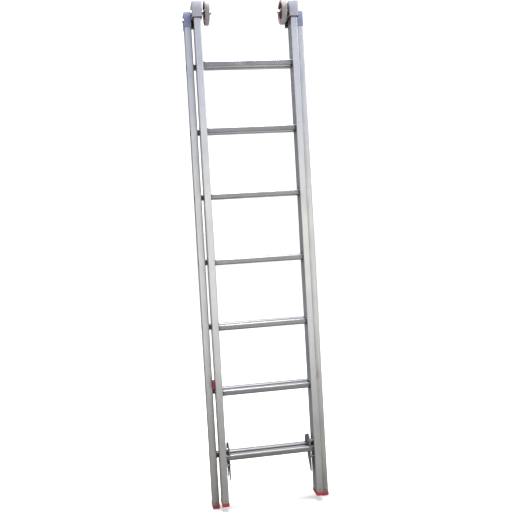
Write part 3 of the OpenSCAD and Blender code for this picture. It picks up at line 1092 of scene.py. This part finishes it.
@dataclass
class WallWheels:
    """Rubber-tyred wheels that roll up the wall."""

    bore: float = 8.05 * MM
    boss: float = 14 * MM
    web: float = 6 * MM
    rim: float = 5 * MM
    rim_inset: float = 1 * MM
    ribs: int = 6
    rib_width: float = 3.2 * MM
    rib_corner: float = 0.8 * MM
    rib_edge: float = 0.7 * MM
    rib_inset: float = 2 * MM
    # The tyre's wall, in mm: how far in from its side face, and how far out from the hub
    wall: tuple[tuple[float, float], ...] = ((0.2, 0), (0, 0.6), (0, 3), (0.5, 3.4), (0.5, 4.2), (0, 4.6))
    # Its shoulder, in mm: how far in from the side face, and how far below the tread
    shoulder: tuple[tuple[float, float], ...] = ((0, 4.2), (0.5, 2.4), (1.6, 1.1), (3.2, 0.35))
    # Its tread groove: share of half the tyre's width, and mm below the tread
    groove: tuple[tuple[float, float], ...] = ((0.42, 0.05), (0.38, 0.9), (0.30, 0.9), (0.26, 0))

    def tyre(self) -> Skin:
        """Build the right-hand tyre: round shoulders, two fine tread grooves and a ring on each wall.

        Returns:
            The tyre's skin.
        """
        low, high = box_of("tyre_right")
        hub_low, hub_high = box_of("hub_right")
        outer, inner = (high.z - low.z) / 2, (hub_high.z - hub_low.z) / 2
        side = (high.x - low.x) / 2
        right = [(side - cut * MM, inner + rise * MM) for cut, rise in self.wall]
        right += [(side - cut * MM, outer - drop * MM) for cut, drop in self.shoulder]
        right += [(side * share, outer - drop * MM) for share, drop in self.groove]
        centre = (low + high) / 2
        return Skin().lathe(whole_profile(right, centre.x), centre, ring=True, count=96)

    def hub(self) -> Skin:
        """Build the right-hand hub: boss, dished web with ribs on both sides, and rim.

        Returns:
            The hub's skin.
        """
        low, high = box_of("hub_right")
        centre = (low + high) / 2
        outer, side = (high.z - low.z) / 2, (high.x - low.x) / 2
        inner, lip, face = outer - self.rim, side - self.rim_inset, self.web / 2
        right = [
            (side - 0.4 * MM, self.bore), (side, self.bore + 0.5 * MM),
            (side, self.boss - 0.8 * MM), (side - 0.8 * MM, self.boss),
            (face + 1.2 * MM, self.boss + 0.8 * MM), (face, self.boss + 2.4 * MM),
            (face, inner - 2 * MM), (face + 1.0 * MM, inner - 0.6 * MM),
            (lip - 0.6 * MM, inner), (lip, inner + 0.6 * MM),
            (lip, outer - 0.4 * MM), (lip - 0.3 * MM, outer),
        ]
        skin = Skin().lathe(whole_profile(right, centre.x), centre, ring=True, count=96)
        half = self.rib_width / 2
        rib = fillet(rectangle((-half, self.boss - 1 * MM), (half, inner + 0.5 * MM)), self.rib_corner)
        reach = lip - self.rib_inset
        for i in range(self.ribs):
            turn = Matrix.Rotation(2 * math.pi * i / self.ribs, 3, "X")
            spoke = Skin().slab(rib, Axis.X, -reach, reach, self.rib_edge)
            skin.add(Skin([centre + turn @ p for p in spoke.points], spoke.faces))
        return skin

    def build(self, palette: Palette) -> None:
        """Make both wheels."""
        settle_sides(self.tyre, "tyre", "wheel_{}", "grey_rubber", palette.tyre)
        settle_sides(self.hub, "hub", "wheel_{}", "dark_red_nylon", palette.dark_red)


@dataclass
class Hooks:
    """Hook plates at the fly's lowest rung, their rivets and spacers, and the hanging catches."""

    rung_depth: float = 30 * MM
    rung_height: float = 24 * MM
    stile_depth: float = 64 * MM
    mouth_gap: float = 0.6 * MM
    finger_down: float = 10 * MM
    toe: float = 14 * MM
    shoulder: float = 12 * MM
    # Radii of the plate's corners, in mm, from its toe round the mouth and over the top
    corner_mm: tuple[float, ...] = (5, 5, 4, 1, 1, 2, 2, 3, 8, 8, 8, 8, 8)
    plate_edge: float = 0.5 * MM
    rivet_radius: float = 7 * MM
    rivet_dome: float = 3 * MM
    rivet_from_rung: float = 22 * MM
    # Share of the rivet's radius, and share of its height
    dome: tuple[tuple[float, float], ...] = ((0.25, 1.0), (0.6, 0.9), (0.88, 0.6), (1.0, 0.15), (1.0, 0.0))
    spacer_radius: float = 7 * MM
    spacer_edge: float = 0.6 * MM
    pin_drop: float = 18 * MM
    pin_set: float = 10 * MM
    pin_radius: float = 3 * MM
    # A pin head's profile, in mm: how far in from its end, and its radius
    pin_head: tuple[tuple[float, float], ...] = ((0, 3.6), (0.5, 4.8), (2, 5))
    catch_head: float = 10 * MM
    catch_tip: float = 4 * MM
    catch_edge: float = 0.6 * MM

    def rung_z(self) -> float:
        """Give the height of the fly's lowest rung."""
        low, high = box_of("fly_rung_1")
        return (low.z + high.z) / 2

    def mouth(self) -> tuple[float, float]:
        """Give the front and back Y of the hook's mouth.

        Returns:
            Both places along Y.
        """
        low, high = box_of("base_rung_1")
        middle = (low.y + high.y) / 2
        reach = self.rung_depth / 2 + self.mouth_gap
        return middle - reach, middle + reach

    def plate(self) -> Skin:
        """Build the right-hand hook plate.

        Returns:
            The plate's skin.
        """
        low, high = box_of("hook_right")
        z = self.rung_z()
        front, back = self.mouth()
        top = z + self.rung_height / 2 + self.mouth_gap
        up, down, tip = high.z - z, z - low.z, z - self.finger_down
        stile_front = low.y - (self.stile_depth - self.rung_depth) / 2 + 1 * MM
        corners = [
            (low.y, low.z), (low.y + self.toe, low.z), (front, z - down * 0.42), (front, top), (back, top),
            (back, tip + 6 * MM), (back + 3 * MM, tip), (high.y, tip),
            (high.y, z + up * 0.45), (high.y - self.shoulder, z + up * 0.7),
            (stile_front + self.stile_depth * 0.78, high.z), (stile_front + self.stile_depth * 0.45, high.z),
            (low.y, z + up * 0.7),
        ]
        outline = fillet(corners, [radius * MM for radius in self.corner_mm])
        return Skin().slab(outline, Axis.X, low.x, high.x, self.plate_edge)

    def rivet_centres(self) -> list[Vector]:
        """Give the lower and upper rivet's axes.

        Returns:
            A point on each axis.
        """
        low, high = box_of("hook_spacers")
        reach = self.rung_height / 2 + self.rivet_from_rung
        return [Vector((0, (low.y + high.y) / 2, self.rung_z() + side * reach)) for side in (-1, 1)]

    def rivets(self) -> Skin:
        """Build the domed rivet heads on both plates' inner faces.

        Returns:
            The skin of all four heads.
        """
        face = box_of("hook_right")[0].x
        profile = [(face - self.rivet_dome * lift, self.rivet_radius * share) for share, lift in self.dome]
        skin = Skin()
        for centre in self.rivet_centres():
            skin.lathe(profile, centre, count=40)
        return skin.with_mirror()

    def spacers(self) -> Skin:
        """Build the spacer tubes between both plates and their stiles.

        Returns:
            The skin of all four tubes.
        """
        start, end = box_of("hook_right")[1].x, box_of("fly_stile_right")[0].x
        edge, radius = self.spacer_edge, self.spacer_radius
        profile = [(start, radius - edge), (start + edge, radius), (end - edge, radius), (end, radius - edge)]
        skin = Skin()
        for centre in self.rivet_centres():
            skin.lathe(profile, centre, count=40)
        return skin.with_mirror()

    def pin_centre(self) -> Vector:
        """Give the catch pin's place in Y and Z."""
        drop = self.rung_height / 2 + self.pin_drop
        return Vector((0, self.mouth()[0] - self.pin_set, self.rung_z() - drop))

    def catch(self) -> Skin:
        """Build the right-hand catch: a tapering flap that hangs from its pin.

        Returns:
            The catch's skin.
        """
        low, high = box_of("catch_right")
        pin = self.pin_centre()
        length = pin.z - low.z - self.catch_tip
        lean = math.asin((self.catch_head - self.catch_tip) / length)
        outline: Outline = []
        for radius, drop, first, sweep, steps in (
            (self.catch_head, 0.0, -lean, math.pi + 2 * lean, 16),
            (self.catch_tip, length, math.pi + lean, math.pi - 2 * lean, 8),
        ):
            for angle in (first + sweep * i / steps for i in range(steps + 1)):
                outline.append((pin.y + radius * math.cos(angle), pin.z - drop + radius * math.sin(angle)))
        return Skin().slab(outline, Axis.X, low.x, high.x, self.catch_edge)

    def pins(self) -> Skin:
        """Build both catch pins, with a rounded head at each end.

        Returns:
            The skin of both pins.
        """
        neck = self.pin_head[-1][0] * MM
        start, end = box_of("hook_right")[0].x - neck, box_of("catch_pins")[1].x
        profile = [(start + inward * MM, radius * MM) for inward, radius in self.pin_head]
        profile += [(start + neck, self.pin_radius), (end - neck, self.pin_radius)]
        profile += [(end - inward * MM, radius * MM) for inward, radius in reversed(self.pin_head)]
        return Skin().lathe(profile, self.pin_centre(), count=32).with_mirror()

    def build(self, palette: Palette) -> None:
        """Make the hooks and catches.

        Args:
            palette: The ladder's materials.
        """
        settle_sides(self.plate, "hook", "fly", "hook_plate", palette.hook)
        settle_sides(self.catch, "catch", "catch_{}", "hook_plate", palette.hook)
        skins = {"hook_rivets": self.rivets(), "hook_spacers": self.spacers(), "catch_pins": self.pins()}
        for name, skin in skins.items():
            settle(skin.to_object(f"{name}_detail", palette.zinc), "fly", "zinc_fastener", name)


@dataclass
class SlideBlocks:
    """Nylon blocks on the fly's outer faces, with tongues in the base's channels."""

    tongue_gap: float = 0.3 * MM
    channel: float = 8 * MM
    corner: float = 2.5 * MM
    edge: float = 0.8 * MM
    tongue_inset: float = 0.5 * MM
    tongue_corner: float = 1.5 * MM
    tongue_sunk: float = 1 * MM
    tongue_edge: float = 0.5 * MM

    def block(self) -> Skin:
        """Build the right-hand block.

        Returns:
            The block's skin.
        """
        low, high = box_of("slide_block_right")
        base = box_of("base_stile_right")[0]
        face = base.x - self.tongue_gap
        middle = (base.y + box_of("fly_stile_right")[1].y) / 2
        half = self.channel / 2 - self.tongue_gap
        body = fillet(rectangle((low.y, low.z), (high.y, high.z)), self.corner)
        skin = Skin().slab(body, Axis.X, low.x, face, self.edge)
        bottom, top = low.z + self.tongue_inset, high.z - self.tongue_inset
        tongue = fillet(rectangle((middle - half, bottom), (middle + half, top)), self.tongue_corner)
        return skin.slab(tongue, Axis.X, face - self.tongue_sunk, high.x, self.tongue_edge)

    def build(self, palette: Palette) -> None:
        """Make both blocks."""
        settle_sides(self.block, "slide_block", "fly", "red_nylon", palette.red)


# ---------- Studio ----------


@dataclass(frozen=True)
class Card:
    """An upright card over a line on the floor, or a mat lying on it, for the metal to mirror."""

    name: str
    colour: str
    start: tuple[float, float]
    end: tuple[float, float]
    low: float
    high: float

    def corners(self) -> list[tuple[float, float, float]]:
        """Give the card's corners in metres.

        Returns:
            Four corners in order.
        """
        low, high = self.low, self.high
        if low == high:
            return [(x, y, low) for x, y in rectangle(self.start, self.end)]
        return [(*self.start, low), (*self.end, low), (*self.end, high), (*self.start, high)]


@dataclass(frozen=True)
class Softbox:
    """A square soft light: its place, power in watts and tint."""

    name: str
    place: tuple[float, float, float]
    power: float
    tint: str
    size: float = 1.6


@dataclass
class Studio:
    """Pale floor, white surround, soft lights, reflector cards and the camera."""

    floor_size: float = 160.0
    floor_drop: float = 0.5 * MM
    floor_colour: str = "#EDEDED"
    surround_colour: str = "#FDFDFF"
    surround: float = 1.25
    aim: tuple[float, float, float] = (0, 0, 1.1)
    softboxes: tuple[Softbox, ...] = (
        Softbox("key_softbox", (3.0, -2.2, 3.2), 70.0, "#FFFDFA"),
        Softbox("overhead_softbox", (0.0, 0.1, 4.2), 230.0, "#FFFFFF"),
    )
    reflectors: tuple[Card, ...] = (
        Card("side_card", "#5E5F62", (-1.0, 0.2), (-0.2, 8.0), 0, 4.5),
        Card("edge_card", "#3C3D42", (1.6, -1.6), (2.2, 2.5), 0, 3),
        Card("front_card", "#EFECDE", (-5, -5), (4, -5), 0.0, 2.3),
        Card("high_card", "#B9C0D4", (-5, -5), (4, -5), 2.3, 5.5),
        Card("front_mat", "#716E67", (-3, -2.6), (3, 0.1), 0.01, 0.01),
        Card("back_mat", "#4A4A4C", (-1.5, 0.1), (0.19, 4.0), 0.01, 0.01),
    )
    camera_place: tuple[float, float, float] = (-0.486, -2.697, 1.234)
    heading: float = 8.34
    pitch: float = -1.47
    roll: float = -3.32
    lens: float = 44.5
    shift: tuple[float, float] = (0.039, -0.035)

    def sheet(
        self, name: str, corners: Sequence[tuple[float, float, float]], finish: Finish
    ) -> bpy.types.Object:
        """Make a flat four-cornered sheet that belongs to the studio.

        Args:
            name: The sheet's name.
            corners: Its corners in order, in metres.
            finish: Its finish.

        Returns:
            The sheet.
        """
        mesh = bpy.data.meshes.new(name)
        mesh.from_pydata(list(corners), [], [(0, 1, 2, 3)])
        mesh.materials.append(finish.material())
        sheet = bpy.data.objects.new(name, mesh)
        bpy.context.scene.collection.objects.link(sheet)
        return sheet

    def floor(self) -> None:
        """Lay the floor just under the feet."""
        half = self.floor_size / 2
        corners = [(x, y, -self.floor_drop) for x, y in rectangle((-half, -half), (half, half))]
        self.sheet("studio_floor", corners, StudioPaint("painted_studio_floor", self.floor_colour))

    def cards(self) -> None:
        """Stand grey cards round the ladder for its metal to mirror; the camera doesn't see them."""
        for reflector in self.reflectors:
            finish = StudioPaint(f"painted_{reflector.name}", reflector.colour)
            card = self.sheet(reflector.name, reflector.corners(), finish)
            card.visible_camera = False
            card.visible_diffuse = False
            card.visible_shadow = False

    def light(self, softbox: Softbox) -> None:
        """Hang a softbox that faces the ladder's middle.

        Args:
            softbox: The softbox.
        """
        data = bpy.data.lights.new(softbox.name, "AREA")
        data.size = softbox.size
        data.energy = softbox.power
        data.color = to_linear(softbox.tint)[:3]
        lamp = bpy.data.objects.new(softbox.name, data)
        lamp.location = softbox.place
        lamp.rotation_euler = (Vector(self.aim) - Vector(softbox.place)).to_track_quat("-Z", "Y").to_euler()
        bpy.context.scene.collection.objects.link(lamp)

    def camera(self) -> None:
        """Set the camera up at the view's angle."""
        data = bpy.data.cameras.new("camera")
        data.lens = self.lens
        data.sensor_width = 36.0
        data.shift_x, data.shift_y = self.shift
        data.clip_end = 400.0
        eye = bpy.data.objects.new("camera", data)
        yaw, pitch = math.radians(self.heading), math.radians(self.pitch)
        level = math.cos(pitch)
        ahead = Vector((math.sin(yaw) * level, math.cos(yaw) * level, math.sin(pitch)))
        facing = ahead.to_track_quat("-Z", "Y")
        roll = Matrix.Rotation(math.radians(self.roll), 4, "Z")
        eye.matrix_world = Matrix.Translation(self.camera_place) @ facing.to_matrix().to_4x4() @ roll
        bpy.context.scene.collection.objects.link(eye)
        bpy.context.scene.camera = eye

    def build(self) -> None:
        """Make the whole studio."""
        scene = bpy.context.scene
        scene.view_settings.view_transform = "Standard"
        world = bpy.data.worlds.new("studio")
        world.use_nodes = True
        background = world.node_tree.nodes["Background"]
        background.inputs["Color"].default_value = to_linear(self.surround_colour)
        background.inputs["Strength"].default_value = self.surround
        scene.world = world
        self.floor()
        self.cards()
        for softbox in self.softboxes:
            self.light(softbox)
        self.camera()
        LOG.info("studio ready")


def main() -> None:
    """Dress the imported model, add its detailed pieces and set up the studio."""
    logging.basicConfig(level=logging.INFO, format="%(name)s: %(message)s")
    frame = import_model()
    palette = Palette()
    Extrusions().dress(frame["nodes"], palette)
    for assembly in (FootCaps(), BaseTops(), WheelBrackets(), WallWheels(), Hooks(), SlideBlocks()):
        assembly.build(palette)
    Studio().build()


if __name__ == "__main__":
    main()
